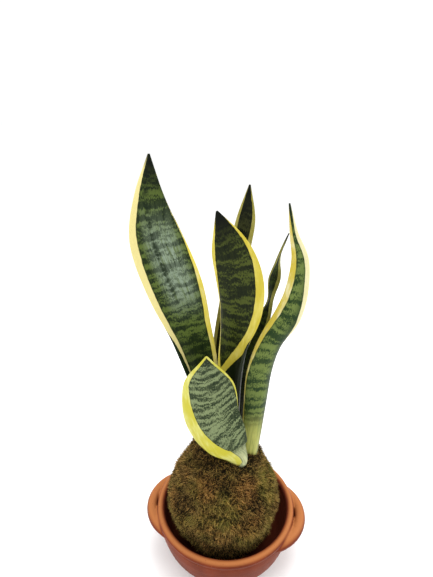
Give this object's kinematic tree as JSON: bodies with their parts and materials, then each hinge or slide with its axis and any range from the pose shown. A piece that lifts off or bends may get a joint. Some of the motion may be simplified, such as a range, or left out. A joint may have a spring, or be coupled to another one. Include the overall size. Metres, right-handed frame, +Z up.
{
  "type": "snake plant kokedama in a clay dish",
  "caption": "Variegated snake plant rooted in a moss-wrapped soil ball, standing in a round fired clay dish with a lug handle on each side.",
  "frame": {"origin": "centre of the dish's flat foot, on the table", "axes": "+Z up, +X to the plant's right, -Y to its front, where the short leaf leans out"},
  "size_m": [0.1621, 0.1398, 0.4041],
  "materials": {
    "terracotta": "fired clay, satin from handling, with a brighter rolled rim",
    "moss": "shaggy sheet moss, olive with rusty brown patches",
    "soil": "damp crumbly potting soil",
    "root": "waxy orange rhizome and roots",
    "leaf": "waxy leaf, green with dark cross bands and yellow margins",
    "dry_husk": "papery, dried brown"
  },
  "bodies": {
    "root": {"terracotta_dish": "terracotta", "moss_wrap": "moss", "soil_ball": "soil", "rhizome_and_roots": "root", "leaf_tall": "leaf", "leaf_middle": "leaf", "leaf_back": "leaf", "leaf_slender": "leaf", "leaf_right": "leaf", "leaf_front": "leaf", "dry_sheath": "dry_husk"}
  },
  "joints": []
}
